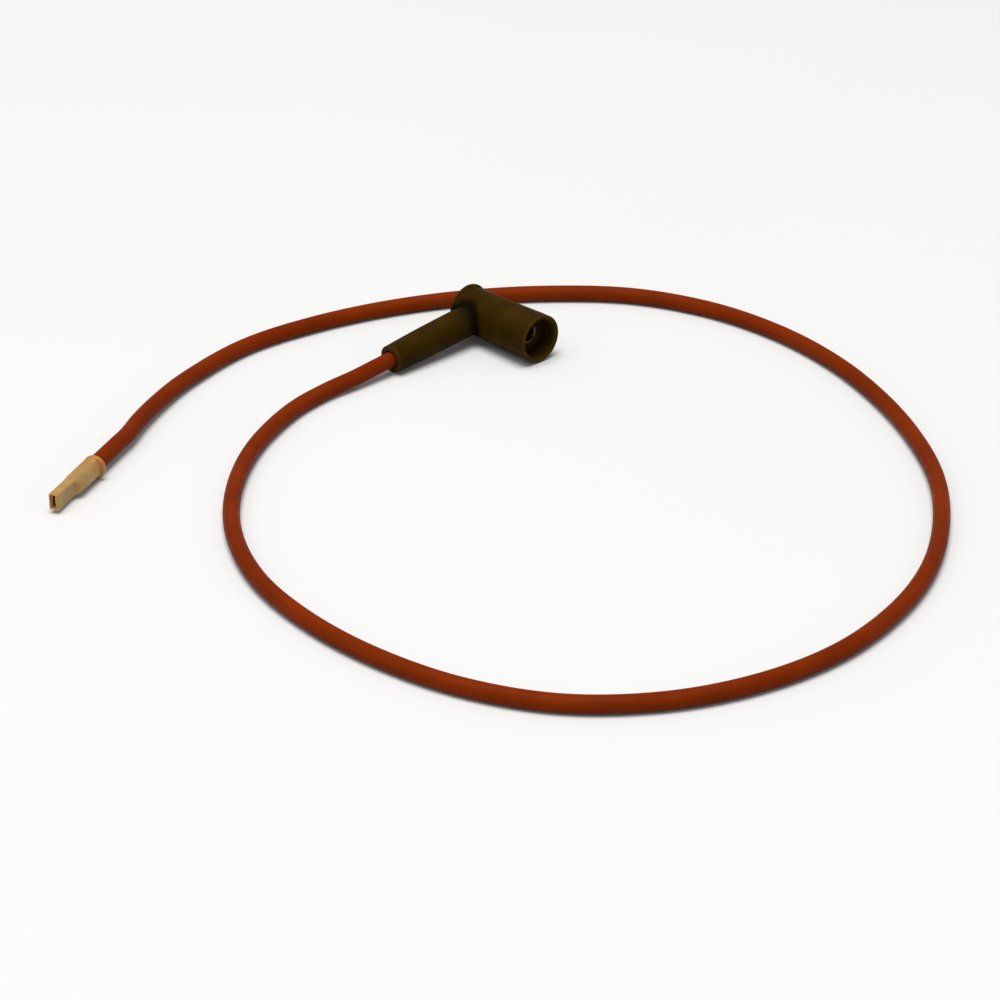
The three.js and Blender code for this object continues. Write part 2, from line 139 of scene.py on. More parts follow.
# The lead's route from inside the sleeve, round the loop, to the cut end of the jacket in the cover.
ROUTE_STEP = 1.6 * MM
LOOP_MM = [
    (-15, -71), (-11, -92.5), (4, -126), (27, -156), (55.5, -180), (90.5, -197),
    (127, -204), (165, -203.5), (203, -195), (236, -177), (261, -148.5), (276, -114.5),
    (281.5, -77.5), (276.5, -38.5), (264, -4), (243.5, 28.5), (218, 56.5), (187.5, 79),
    (153.5, 97), (118, 109.5), (80.5, 115), (42.5, 111.5), (7.5, 97), (-20.5, 72),
    (-43, 42), (-60, 8), (-70.5, -28), (-74, -65.5),
]
RISE_MM = [(-65, -107, 4.0), (-54.5, -132, 4.6), (-46.5, -147, 5.0)]
ROUTE = [
    on_sleeve(SLEEVE_LENGTH - BOOT_JOIN),
    on_sleeve(SLEEVE_LENGTH + 0.3 * MM),
    on_sleeve(SLEEVE_LENGTH + 10 * MM),
    on_sleeve(SLEEVE_LENGTH + 20 * MM),
    *(Vector((x * MM, y * MM, LEAD_REST_Z)) for x, y in LOOP_MM),
    *(Vector(point) * MM for point in RISE_MM),
    on_cover_axis(64 * MM),
    on_cover_axis(55 * MM),
    on_cover_axis(46 * MM),
    on_cover_axis(COVER_LENGTH),
    on_cover_axis(TAIL_JACKET_CUT),
]

# ---------------------------------------------------------------- camera, lights and floor

CAMERA_AZIMUTH = 46
CAMERA_ELEVATION = 28
CAMERA_DISTANCE = 1.278
CAMERA_FIELD = math.radians(18)
LOOK_AT = Vector((0.1039, -0.0806, 0))


def aimed(name, data, azimuth, elevation, distance):
    """A camera or a light that faces LOOK_AT. Azimuth 0 is toward -Y and 90 toward +X, in degrees."""
    made = bpy.data.objects.new(name, data)
    bpy.context.scene.collection.objects.link(made)
    a, e = math.radians(azimuth), math.radians(elevation)
    back = Vector((math.sin(a) * math.cos(e), -math.cos(a) * math.cos(e), math.sin(e)))
    made.location = LOOK_AT + back * distance
    made.rotation_mode = "QUATERNION"
    made.rotation_quaternion = (-back).to_track_quat("-Z", "Y")
    return made


def make_camera():
    data = bpy.data.cameras.new("camera")
    data.angle = CAMERA_FIELD
    data.clip_start, data.clip_end = 0.05, 20
    bpy.context.scene.camera = aimed("camera", data, CAMERA_AZIMUTH, CAMERA_ELEVATION, CAMERA_DISTANCE)


def make_light(name, azimuth, elevation, distance, size, power, warmth=0.0):
    """A round soft box. Warmth goes from 0, which is white, to 1, which is a warm lamp."""
    data = bpy.data.lights.new(name, "AREA")
    data.shape = "DISK"
    data.size = size
    data.energy = power
    data.color = (1, 1 - 0.06 * warmth, 1 - 0.14 * warmth)
    aimed(name, data, azimuth, elevation, distance)


def make_world(strength):
    world = bpy.data.worlds.new("studio")
    world.use_nodes = True
    background = world.node_tree.nodes["Background"]
    background.inputs["Color"].default_value = (1, 1, 1, 1)
    background.inputs["Strength"].default_value = strength
    bpy.context.scene.world = world
    bpy.context.scene.view_settings.view_transform = "Standard"


def make_floor():
    reach, level = 6, -0.0001
    corners = [(x * reach, y * reach, level) for x, y in ((-1, -1), (1, -1), (1, 1), (-1, 1))]
    floor = bpy.data.objects.new("floor", mesh_from("floor", corners, [[0, 1, 2, 3]]))
    floor.data.materials.append(floor_look())
    bpy.context.scene.collection.objects.link(floor)


# ---------------------------------------------------------------- materials

class Look:
    """A Principled material being wired up, with short names for the nodes that it is made of."""

    def __init__(self, name, **constants):
        self.material = bpy.data.materials.new(name)
        self.material.use_nodes = True
        self.tree = self.material.node_tree
        self.shader = self.tree.nodes["Principled BSDF"]
        for socket, value in constants.items():
            self.shader.inputs[socket.replace("_", " ")].default_value = value
        self.place = self.node("TexCoord").outputs["Object"]

    def node(self, kind, **settings):
        made = self.tree.nodes.new("ShaderNode" + kind)
        for key, value in settings.items():
            setattr(made, key, value)
        return made

    def link(self, source, node, socket):
        self.tree.links.new(source, node.inputs[socket])

    def stretched(self, source, scale):
        made = self.node("Mapping")
        made.inputs["Scale"].default_value = scale
        self.link(source, made, "Vector")
        return made.outputs["Vector"]

    def uv(self, name="flow"):
        return self.node("UVMap", uv_map=name).outputs["UV"]

    def attribute(self, name):
        return self.node("Attribute", attribute_name=name).outputs["Fac"]

    def noise(self, scale, detail=2.0, roughness=0.5, source=None):
        made = self.node("TexNoise")
        made.inputs["Scale"].default_value = scale
        made.inputs["Detail"].default_value = detail
        made.inputs["Roughness"].default_value = roughness
        self.link(self.place if source is None else source, made, "Vector")
        return made.outputs["Fac"]

    def ramp(self, source, low, high, from_low=0.0, from_high=1.0):
        made = self.node("MapRange")
        limits = {"From Min": from_low, "From Max": from_high, "To Min": low, "To Max": high}
        for socket, value in limits.items():
            made.inputs[socket].default_value = value
        self.link(source, made, "Value")
        return made.outputs["Result"]

    def math(self, operation, a, b):
        made = self.node("Math", operation=operation)
        for i, value in enumerate((a, b)):
            if isinstance(value, (int, float)):
                made.inputs[i].default_value = value
            else:
                self.tree.links.new(value, made.inputs[i])
        return made.outputs[0]

    def mix(self, factor, a, b):
        made = self.node("Mix", data_type="RGBA")
        for socket, value in ((0, factor), (6, a), (7, b)):
            if isinstance(value, (int, float, tuple)):
                made.inputs[socket].default_value = value
            else:
                self.tree.links.new(value, made.inputs[socket])
        return made.outputs[2]

    def color(self, source):
        self.link(source, self.shader, "Base Color")

    def rough(self, source):
        self.link(source, self.shader, "Roughness")

    def bump(self, *layers):
        """layers are (height source, depth in metres), finest last."""
        normal = None
        for height, depth in layers:
            made = self.node("Bump")
            made.inputs["Strength"].default_value = 1.0
            made.inputs["Distance"].default_value = depth
            self.link(height, made, "Height")
            if normal is not None:
                self.link(normal, made, "Normal")
            normal = made.outputs["Normal"]
        self.link(normal, self.shader, "Normal")


def srgb(red, green, blue):
    """A colour in 0 to 255 display values, as a linear RGBA."""
    def linear(value):
        c = value / 255
        return c / 12.92 if c <= 0.04045 else ((c + 0.055) / 1.055) ** 2.4
    return (linear(red), linear(green), linear(blue), 1.0)


def jacket_look():
    look = Look("jacket_silicone", IOR=1.41, Specular_IOR_Level=0.035)
    flow = look.uv()
    cloud = look.noise(38, 3, 0.55)
    streak = look.noise(1.0, 3, 0.6, look.stretched(flow, (900, 26, 1)))
    fleck = look.noise(2600, 2, 0.6)
    base = look.mix(look.ramp(cloud, 0, 1, 0.35, 0.65), srgb(107, 35, 2), srgb(120, 41, 3))
    streaked = look.mix(look.ramp(streak, 0, 0.4, 0.45, 0.75), base, srgb(84, 24, 2))
    look.color(look.mix(look.ramp(fleck, 0, 0.35, 0.66, 0.82), streaked, srgb(146, 60, 16)))
    look.rough(look.ramp(look.noise(160, 3), 0.4, 0.56, 0.3, 0.7))
    look.bump((streak, 0.00006), (look.noise(900, 3, 0.6), 0.00004), (fleck, 0.00002))
    return look.material


def boot_look():
    look = Look("boot_rubber", IOR=1.5, Specular_IOR_Level=0.015)
    cloud = look.noise(70, 4, 0.6)
    grain = look.noise(2200, 3, 0.6)
    wear = look.attribute("wear")
    base = look.mix(look.ramp(cloud, 0, 1, 0.35, 0.68), srgb(40, 26, 2), srgb(54, 37, 3))
    dusty = look.mix(look.ramp(look.noise(420, 4, 0.7), 0, 0.25, 0.55, 0.85), base, srgb(74, 56, 20))
    worn = look.mix(look.math("MULTIPLY", wear, 0.6), dusty, srgb(72, 50, 14))
    # Painted shade: the colour darkens toward near-black along the crease between the barrel and the
    # sleeve, and the crease is made rougher.
    crease_shade = look.attribute("crease_shade")
    look.color(look.mix(look.ramp(crease_shade, 0, 0.9, 0, 0.7), worn, srgb(12, 7, 2)))
    scuff = look.noise(1.0, 2, 0.5, look.stretched(look.place, (60, 900, 900)))
    clean = look.math("SUBTRACT", look.ramp(cloud, 0.46, 0.6, 0.3, 0.7), look.math("MULTIPLY", wear, 0.14))
    look.rough(look.math("MAXIMUM", clean, crease_shade))
    look.bump((look.noise(260, 3), 0.00012), (scuff, 0.00005), (grain, 0.00005))
    return look.material


def nylon_look():
    look = Look(
        "cover_nylon", IOR=1.53, Specular_IOR_Level=0.25, Subsurface_Weight=0.8, Subsurface_Scale=0.003,
        Subsurface_Radius=(1.0, 0.62, 0.3), Transmission_Weight=0.15,
    )
    cloud = look.noise(140, 3, 0.5)
    flow = look.noise(1.0, 2, 0.5, look.stretched(look.place, (300, 120, 500)))
    base = look.mix(look.ramp(cloud, 0, 1, 0.35, 0.65), srgb(166, 130, 71), srgb(182, 145, 84))
    flowing = look.mix(look.ramp(flow, 0, 0.4, 0.5, 0.8), base, srgb(154, 112, 54))
    # Painted see-through: an orange tint stands in for the jacket seen through the nylon.
    showing_through = look.math("MULTIPLY", look.attribute("lead_inside"), 0.4)
    look.color(look.mix(showing_through, flowing, srgb(176, 92, 28)))
    look.rough(look.ramp(look.noise(500, 3), 0.34, 0.5, 0.3, 0.7))
    look.bump((look.noise(1500, 2), 0.00003), (flow, 0.00003))
    return look.material


def metal_look(name, bright, dull, rough_low, rough_high, brushed=(400, 400, 4000)):
    look = Look(name, Metallic=1.0)
    stain = look.noise(600, 4, 0.6)
    line = look.noise(1.0, 2, 0.6, look.stretched(look.place, brushed))
    look.color(look.mix(look.ramp(stain, 0, 1, 0.4, 0.75), bright, dull))
    look.rough(look.ramp(line, rough_low, rough_high, 0.3, 0.7))
    look.bump((line, 0.000012), (stain, 0.00001))
    return look.material


def braid_look():
    look = Look("glass_braid", Roughness=0.85, Sheen_Weight=0.35)
    fibre = look.noise(1.0, 2, 0.5, look.stretched(look.uv(), (60, 900, 1)))
    look.color(look.mix(fibre, srgb(205, 196, 172), srgb(238, 232, 216)))
    look.bump((fibre, 0.00003))
    return look.material


def insulation_look():
    look = Look("inner_silicone", Subsurface_Weight=0.3, Subsurface_Scale=0.001, IOR=1.41)
    look.color(look.mix(look.noise(500, 3), srgb(222, 216, 204), srgb(236, 232, 224)))
    look.rough(look.ramp(look.noise(300, 2), 0.45, 0.62))
    look.bump((look.noise(1800, 2), 0.00002))
    return look.material


def floor_look():
    look = Look("floor", Roughness=0.9)
    look.color(look.mix(look.noise(3, 2), srgb(212, 212, 211), srgb(215, 215, 214)))
    return look.material


# ---------------------------------------------------------------- mesh code

def round_corners(points, radii, steps=5):
    """The polyline with its corners turned into arcs. radii gives a radius for a corner by its index."""
    out = []
    for i, point in enumerate(points):
        radius = radii.get(i, 0)
        p = np.array(point, float)
        if not radius or i in (0, len(points) - 1):
            out.append(tuple(p))
            continue
        to_last = np.array(points[i - 1], float) - p
        to_next = np.array(points[i + 1], float) - p
        last_length, next_length = np.linalg.norm(to_last), np.linalg.norm(to_next)
        a, b = to_last / last_length, to_next / next_length
        half = math.acos(max(-1, min(1, float(a @ b)))) / 2
        reach = min(radius / math.tan(half), 0.49 * last_length, 0.49 * next_length)
        radius = reach * math.tan(half)
        middle = (a + b) / np.linalg.norm(a + b)
        centre = p + middle * radius / math.sin(half)
        start, end = p + a * reach - centre, p + b * reach - centre
        sweep = math.acos(max(-1, min(1, float(start @ end) / radius**2)))
        turn = 1 if start[0] * end[1] - start[1] * end[0] > 0 else -1
        for step in range(steps + 1):
            angle = turn * sweep * step / steps
            c, s = math.cos(angle), math.sin(angle)
            out.append(tuple(centre + (start[0] * c - start[1] * s, start[0] * s + start[1] * c)))
    return out


def mesh_from(name, vertices, faces, uvs=None):
    mesh = bpy.data.meshes.new(name)
    mesh.from_pydata([tuple(v) for v in vertices], [], faces)
    if uvs is not None:
        layer = mesh.uv_layers.new(name="flow")
        for polygon in mesh.polygons:
            for corner in polygon.loop_indices:
                layer.data[corner].uv = uvs[polygon.index][corner - polygon.loop_start]
    mesh.validate()
    return mesh


def facing_out(mesh):
    bm = bmesh.new()
    bm.from_mesh(mesh)
    bmesh.ops.recalc_face_normals(bm, faces=bm.faces)
    bm.to_mesh(mesh)
    bm.free()
    return mesh


def lathe(name, profile, segments, matrix, ridge=0.0, ridge_points=0):
    """A solid turned about its own X axis. The profile is (x, radius) points, from axis to axis, or closed
    on itself. A ridge stands out along both sides on the first ridge_points points: the mould's line."""
    closed = profile[0][1] > 0 or profile[-1][1] > 0
    vertices, rings = [], []
    for i, (x, radius) in enumerate(profile):
        if radius < 1e-9:
            rings.append([len(vertices)])
            vertices.append(matrix @ Vector((x, 0, 0)))
            continue
        rings.append(list(range(len(vertices), len(vertices) + segments)))
        for j in range(segments):
            on_line = i < ridge_points and j % (segments // 2) == 0
            r = radius + (ridge if on_line else 0)
            angle = TURN * j / segments
            vertices.append(matrix @ Vector((x, r * math.cos(angle), r * math.sin(angle))))
    faces = []
    pairs = list(zip(rings, rings[1:])) + ([(rings[-1], rings[0])] if closed else [])
    for low, high in pairs:
        for j in range(segments):
            k = (j + 1) % segments
            face = [low[j % len(low)], low[k % len(low)], high[k % len(high)], high[j % len(high)]]
            face = list(dict.fromkeys(face))
            if len(face) > 2:
                faces.append(face)
    return facing_out(mesh_from(name, vertices, faces))


def frames_along(path):
    """A frame (tangent, side, up) at each point of a path, turned as little as possible on the way."""
    tangents = []
    for i in range(len(path)):
        ahead = path[min(i + 1, len(path) - 1)] - path[max(i - 1, 0)]
        tangents.append(ahead.normalized())
    start = Vector((0, 0, 1)) if abs(tangents[0].z) < 0.9 else Vector((1, 0, 0))
    up = (start - tangents[0] * start.dot(tangents[0])).normalized()
    frames = []
    for i, tangent in enumerate(tangents):
        if i:
            up = tangents[i - 1].rotation_difference(tangent) @ up
            up = (up - tangent * up.dot(tangent)).normalized()
        frames.append((tangent, tangent.cross(up), up))
    return frames


def sweep(name, path, radius, sides, edge=0.0):
    """A closed round tube along a path, its two ends rounded off by edge. Its map is in metres."""
    frames = frames_along(path)
    lengths = [0.0]
    for a, b in zip(path, path[1:]):
        lengths.append(lengths[-1] + (b - a).length)

    def rounded_end(i, inward):
        for angle in map(math.radians, (90, 60, 30, 0) if edge else (0,)):
            point = path[i] + frames[i][0] * (inward * edge * (1 - math.sin(angle)))
            yield point, frames[i], radius - edge * (1 - math.cos(angle)), lengths[i]

    middle = [(path[i], frames[i], radius, lengths[i]) for i in range(1, len(path) - 1)]
    rings = [*rounded_end(0, 1), *middle, *reversed(list(rounded_end(len(path) - 1, -1)))]
    vertices, faces, uvs = [], [], []
    for point, (_, side, up), ring_radius, _ in rings:
        for j in range(sides):
            angle = TURN * j / sides
            vertices.append(point + (side * math.cos(angle) + up * math.sin(angle)) * ring_radius)
    around = TURN * radius / sides
    for i in range(len(rings) - 1):
        low, high = rings[i][3], rings[i + 1][3]
        for j in range(sides):
            k = (j + 1) % sides
            faces.append([i * sides + j, i * sides + k, (i + 1) * sides + k, (i + 1) * sides + j])
            a, b = j * around, (j + 1) * around
            uvs.append([(a, low), (b, low), (b, high), (a, high)])
    last = (len(rings) - 1) * sides
    for face in (list(range(sides)), [last + j for j in reversed(range(sides))]):
        faces.append(face)
        uvs.append([(0.0, 0.0)] * sides)
    return facing_out(mesh_from(name, vertices, faces, uvs))


def smooth_path(points, spacing):
    """A centripetal Catmull-Rom curve through the points, sampled every spacing or less."""
    ends = [points[0] * 2 - points[1], *points, points[-1] * 2 - points[-2]]
    path = []
    for p0, p1, p2, p3 in zip(ends, ends[1:], ends[2:], ends[3:]):
        t1 = (p1 - p0).length ** 0.5
        t2 = t1 + (p2 - p1).length ** 0.5
        t3 = t2 + (p3 - p2).length ** 0.5
        count = max(1, math.ceil((p2 - p1).length / spacing))
        for i in range(count):
            t = t1 + (t2 - t1) * i / count
            a1 = p0 * ((t1 - t) / t1) + p1 * (t / t1)
            a2 = p1 * ((t2 - t) / (t2 - t1)) + p2 * ((t - t1) / (t2 - t1))
            a3 = p2 * ((t3 - t) / (t3 - t2)) + p3 * ((t - t2) / (t3 - t2))
            b1 = a1 * ((t2 - t) / t2) + a2 * (t / t2)
            b2 = a2 * ((t3 - t) / (t3 - t1)) + a3 * ((t - t1) / (t3 - t1))
            path.append(b1 * ((t2 - t) / (t2 - t1)) + b2 * ((t - t1) / (t2 - t1)))
    path.append(points[-1].copy())
    return path


def along(origin, way, up=Vector((0, 0, 1))):
    """The matrix that lays a local X axis along way from origin, with local Z as near to up as it can."""
    x = way.normalized()
    y = up.cross(x).normalized()
    z = x.cross(y)
    matrix = Matrix((x, y, z)).transposed().to_4x4()
    matrix.translation = origin
    return matrix


def rounded_box_ring(half_y, half_z, radius, per_corner=10):
    """Points round a rectangle with round corners. A round section has radius near half_y and half_z,
    and keeps a very short flat, so that no two of its points fall together."""
    radius = min(radius, 0.985 * min(half_y, half_z))
    ring = []
    for quarter in range(4):
        sign_y, sign_z = ((1, 1), (-1, 1), (-1, -1), (1, -1))[quarter]
        for step in range(per_corner + 1):
            angle = math.radians(90) * (quarter + step / per_corner)
            y = sign_y * (half_y - radius) + radius * math.cos(angle)
            z = sign_z * (half_z - radius) + radius * math.sin(angle)
            ring.append((y, z))
    return ring


def loft(name, sections, matrix):
    """A hollow body through sections (x, middle y, half y, half z, corner radius). They go along its
    outside and come back along its inside, and the last one joins the first."""
    vertices, faces = [], []
    for x, middle, half_y, half_z, radius in sections:
        ring = rounded_box_ring(half_y, half_z, radius)
        vertices += [matrix @ Vector((x, middle + y, z)) for y, z in ring]
    count = len(vertices) // len(sections)
    for i in range(len(sections)):
        low, high = i * count, (i + 1) % len(sections) * count
        for j in range(count):
            k = (j + 1) % count
            faces.append([low + j, low + k, high + k, high + j])
    return facing_out(mesh_from(name, vertices, faces))


def extrude(name, outline, x0, x1, matrix):
    """A prism along local X from an outline of (y, z) points."""
    count = len(outline)
    vertices = [matrix @ Vector((x, y, z)) for x in (x0, x1) for y, z in outline]
    faces = [[j, (j + 1) % count, count + (j + 1) % count, count + j] for j in range(count)]
    faces += [list(range(count)), list(range(count, 2 * count))]
    return facing_out(mesh_from(name, vertices, faces))


def plate(name, outline, y0, y1, matrix):
    """A flat piece between local y0 and y1 from an outline of (x, z) points."""
    x_and_y_swapped = Matrix(((0, 1, 0, 0), (1, 0, 0, 0), (0, 0, 1, 0), (0, 0, 0, 1)))
    return extrude(name, outline, y0, y1, matrix @ x_and_y_swapped)


def ribbon(points, thickness):
    """The outline of a sheet of that thickness whose middle follows the points."""
    p = np.array(points, float)
    tangent = np.gradient(p, axis=0)
    tangent /= np.linalg.norm(tangent, axis=1)[:, None]
    side = np.stack([-tangent[:, 1], tangent[:, 0]], 1) * thickness / 2
    return [tuple(q) for q in np.vstack([p + side, (p - side)[::-1]])]


def combined(base, tools, operation):
    """base with each tool mesh joined to it or cut from it."""
    scene = bpy.context.scene.collection
    carrier = bpy.data.objects.new(base.name + "_base", base)
    scene.objects.link(carrier)
    helpers = []
    for i, tool in enumerate(tools):
        helper = bpy.data.objects.new(f"{base.name}_tool_{i}", tool)
        scene.objects.link(helper)
        helpers.append(helper)
        modifier = carrier.modifiers.new(f"boolean_{i}", "BOOLEAN")
        modifier.operation = operation
        modifier.solver = "EXACT"
        modifier.object = helper
    bpy.context.view_layer.update()
    evaluated = carrier.evaluated_get(bpy.context.evaluated_depsgraph_get())
    result = bpy.data.meshes.new_from_object(evaluated)
    for helper in [carrier, *helpers]:
        bpy.data.objects.remove(helper)
    return result


def piece(name, mesh, look, body, replaces=(), sharp=35):
    """The mesh as a finished piece of the model."""
    mesh.name = name
    mesh.materials.clear()
    mesh.materials.append(look)
    mesh.shade_smooth()
    mesh.set_sharp_from_angle(angle=math.radians(sharp))
    made = bpy.data.objects.new(name, mesh)
    bpy.context.scene.collection.objects.link(made)
    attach(made, body)
    if replaces:
        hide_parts(*replaces)
    return made


# ---------------------------------------------------------------- boot

# From the middle of the rear face over the bead, and along the side to the inner edge of the mouth's rim.
BARREL_OUTLINE = round_corners(
    [
        (REAR_X + 0.35 * MM, 0),
        (REAR_X + 0.35 * MM, 1.5 * MM),
        (REAR_X, 1.9 * MM),
        (REAR_X, BEAD_R - 0.6 * MM),
        (REAR_X + 0.8 * MM, BEAD_R + 0.1 * MM),
        (REAR_X + 2.3 * MM, BARREL_REAR_R),
        (MOUTH_X - 5 * MM, BARREL_MOUTH_R),
        (MOUTH_X, BARREL_MOUTH_R),
        (MOUTH_X, MOUTH_CHAMFER_R),
    ],
    {1: 0.2 * MM, 2: 0.2 * MM, 3: 0.5 * MM, 4: 0.5 * MM, 5: 1.2 * MM, 6: 8 * MM, 7: 0.45 * MM},
)

# The places and the radii of the outline's points from the edge of the rear face to the mouth.
SIDE_X, SIDE_R = zip(*(point for point in BARREL_OUTLINE if point[1] > 9 * MM))


def barrel_radius(x):
    """The barrel's outer radius at x, where the sleeve can meet it."""
    return float(np.interp(x, SIDE_X, SIDE_R))


def refined(profile, step):
    """The profile with points added along its long straight stretches."""
    out = [profile[0]]
    for (x0, r0), (x1, r1) in zip(profile, profile[1:]):
        count = max(1, math.ceil(math.hypot(x1 - x0, r1 - r0) / step))
        out += [(x0 + (x1 - x0) * i / count, r0 + (r1 - r0) * i / count) for i in range(1, count + 1)]
    return out


def barrel_mesh():
    """The barrel with its mouth, its sealing ribs, the socket's seat and the chamber behind the seat."""
    inside = [(MOUTH_X - MOUTH_CHAMFER_DEPTH, MOUTH_BORE_R)]
    for depth in SEALING_RIB_DEPTHS:
        x = MOUTH_X - depth
        inside += [
            (x, MOUTH_BORE_R),
            (x - SEALING_RIB_WIDTH / 2, MOUTH_BORE_R - SEALING_RIB_HEIGHT),
            (x - SEALING_RIB_WIDTH, MOUTH_BORE_R),
        ]
    step_x = MOUTH_X - MOUTH_BORE_DEPTH
    inside += [
        (step_x, MOUTH_BORE_R),
        (step_x, SEAT_R + 0.5 * MM),
        (step_x - 0.5 * MM, SEAT_R),
        (SEAT_BACK_X, SEAT_R),
        (SEAT_BACK_X, CHAMBER_R),
        (SLEEVE_X - CHAMBER_R, CHAMBER_R),
        (SLEEVE_X - CHAMBER_R, 0),
    ]
    outline = refined(BARREL_OUTLINE[:-1], 1 * MM)
    corner = len(outline)
    radii = {corner + 1 + i: 0.25 * MM for i in range(len(inside))}
    radii[corner] = 0.2 * MM
    radii[corner + 1] = 0.5 * MM
    profile = round_corners([*outline, (MOUTH_X, MOUTH_CHAMFER_R), *inside], radii)
    matrix = Matrix.Translation((0, AXIS_Y, AXIS_Z))
    return lathe("barrel", profile, 180, matrix, ridge=BARREL_MOULD_LINE, ridge_points=corner)


def sleeve_radius(distance):
    """The sleeve's outer radius at a distance from the elbow. It is straight at first, then tapers to
    its end, faster the nearer it gets."""
    share = max(0.0, min(1.0, (distance - SLEEVE_STRAIGHT) / (SLEEVE_LENGTH - SLEEVE_STRAIGHT)))
    return SLEEVE_ROOT_R + (SLEEVE_END_R - SLEEVE_ROOT_R) * share**2.36


def sleeve_mesh():
    """The sleeve's solid outside, flared into the barrel all round with a small fillet."""
    segments, fillet, rounding = 144, 0.5 * MM, 0.5 * MM
    side = Vector((1, 0, 0))
    up = SLEEVE_WAY.cross(side)
    # These rows follow the barrel's side: the root, which starts inside its wall, and then the fillet.
    distances = [-3.0 * MM, 0.0]
    distances += [fillet * (1 - math.cos(math.radians(a))) for a in (15, 30, 45, 60, 75, 90)]
    rows = []
    for distance in distances:
        flare = 0.0
        if distance < fillet:
            reach = fillet - max(distance, 0.0)
            flare = fillet - math.sqrt(max(0.0, fillet**2 - reach**2))
        row = []
        for j in range(segments):
            angle = TURN * j / segments
            radius = SLEEVE_ROOT_R + flare
            across, rise = radius * math.cos(angle), radius * math.sin(angle)
            meets = math.sqrt(max(barrel_radius(SLEEVE_X + across) ** 2 - rise**2, CHAMBER_R**2))
            row.append(ELBOW + side * across + up * rise + SLEEVE_WAY * (meets + distance))
        rows.append(row)
    # These rows are flat rings: the sleeve itself and the rounding at its end.
    ends = [(t, sleeve_radius(t)) for t in np.linspace(15 * MM, SLEEVE_LENGTH - rounding, 30)]
    end_r = sleeve_radius(SLEEVE_LENGTH)
    for a in (20, 45, 70, 90):
        s, c = math.sin(math.radians(a)), math.cos(math.radians(a))
        ends.append((SLEEVE_LENGTH - rounding * (1 - s), end_r - rounding * (1 - c)))
    for t, radius in ends:
        row = []
        for j in range(segments):
            angle = TURN * j / segments
            r = radius + (SLEEVE_MOULD_LINE if j % (segments // 2) == 0 else 0)
            row.append(on_sleeve(t) + side * (r * math.cos(angle)) + up * (r * math.sin(angle)))
        rows.append(row)
    vertices = [v for row in rows for v in row]
    faces = []
    for i in range(len(rows) - 1):
        for j in range(segments):
            k = (j + 1) % segments
            a, b = i * segments, (i + 1) * segments
            faces.append([a + j, a + k, b + k, b + j])
    faces.append(list(range(segments)))
    faces.append(list(range(len(vertices) - segments, len(vertices))))
    return facing_out(mesh_from("sleeve", vertices, faces))


def add_wear_and_crease_shade(mesh):
    """Wear is how much handling has polished a point: most at the mouth's rim, the bead and the sleeve's
    end. Crease shade is painted shade: the colour is darkened along the crease between the barrel and the
    sleeve, where shade falls."""
    wear, crease_shade = [], []
    for vertex in mesh.vertices:
        p = vertex.co
        off_axis = math.hypot(p.y - AXIS_Y, p.z - AXIS_Z)
        rim = max(0.0, 1 - abs(p.x - MOUTH_X) / (1.2 * MM)) if off_axis > MOUTH_BORE_R else 0.0
        bead = max(0.0, 1 - abs(off_axis - BEAD_R) / (0.5 * MM))
        t = (p - ELBOW).dot(SLEEVE_WAY)
        end = max(0.0, 1 - abs(t - SLEEVE_LENGTH) / (1.2 * MM))
        wear.append(max(rim, bead, end))
        # Painted shade: this mask is 1 in the crease where the sleeve meets the barrel and fades out over
        # 3.5 mm.
        from_barrel = abs(off_axis - barrel_radius(p.x))
        from_sleeve = abs((p - ELBOW - SLEEVE_WAY * t).length - SLEEVE_ROOT_R)
        crease_shade.append(max(0.0, 1 - (from_barrel + from_sleeve) / (3.5 * MM)) if t > 0 else 0.0)
    for name, values in (("wear", wear), ("crease_shade", crease_shade)):
        mesh.attributes.new(name, "FLOAT", "POINT").data.foreach_set("value", values)


def sleeve_bore_mesh():
    """The hole along the sleeve, opened out a little at the sleeve's end."""
    opened, past_end = SLEEVE_BORE_R + 1.2 * MM, SLEEVE_LENGTH + 1 * MM
    profile = [
        (0, 0),
        (0, SLEEVE_BORE_R),
        (SLEEVE_LENGTH - 0.7 * MM, SLEEVE_BORE_R),
        (past_end, opened),
        (past_end, 0),
    ]
    return lathe("sleeve_bore", profile, 96, along(ELBOW, SLEEVE_WAY))


def chamber_mesh():
    """The chamber behind the seat, a hair inside its wall, to clear what the sleeve's root leaves in it."""
    slack, front = 0.02 * MM, 1.0 * MM
    rear, radius = SLEEVE_X - CHAMBER_R + slack, CHAMBER_R - slack
    profile = [(rear, 0), (rear, radius), (front, radius), (front, 0)]
    return lathe("chamber", profile, 96, Matrix.Translation((0, AXIS_Y, AXIS_Z)))


def make_boot(look):
    """The barrel and the sleeve are joined first, and the holes inside them are cut last."""
    bore, chamber = sleeve_bore_mesh(), chamber_mesh()
    joined = combined(barrel_mesh(), [sleeve_mesh()], "UNION")
    mesh = combined(joined, [chamber, bore], "DIFFERENCE")
    add_wear_and_crease_shade(mesh)
    return piece("boot", mesh, look, "lead", ["elbow_boot"], sharp=32)


# ---------------------------------------------------------------- snap socket and spring

SOCKET_FRONT_X = MOUTH_X - MOUTH_BORE_DEPTH + 0.4 * MM
SOCKET_BACK_X = 2.2 * MM
CRIMP_BACK_X = -3.4 * MM
CRIMP_FLOOR_X = 1.2 * MM
CRIMP_TUBE_R = 2.2 * MM
CRIMP_TUBE_BORE_R = 1.1 * MM
SOCKET_R = 4.6 * MM
STUD_R = 3.2 * MM
STUD_HOLE_BACK_X = SOCKET_BACK_X + 1.2 * MM
GROOVE_X = 8.4 * MM
GROOVE_HALF = 0.8 * MM
GROOVE_R = 3.75 * MM
SPRING_RING_R = 4.37 * MM
SPRING_WIRE_R = 0.35 * MM


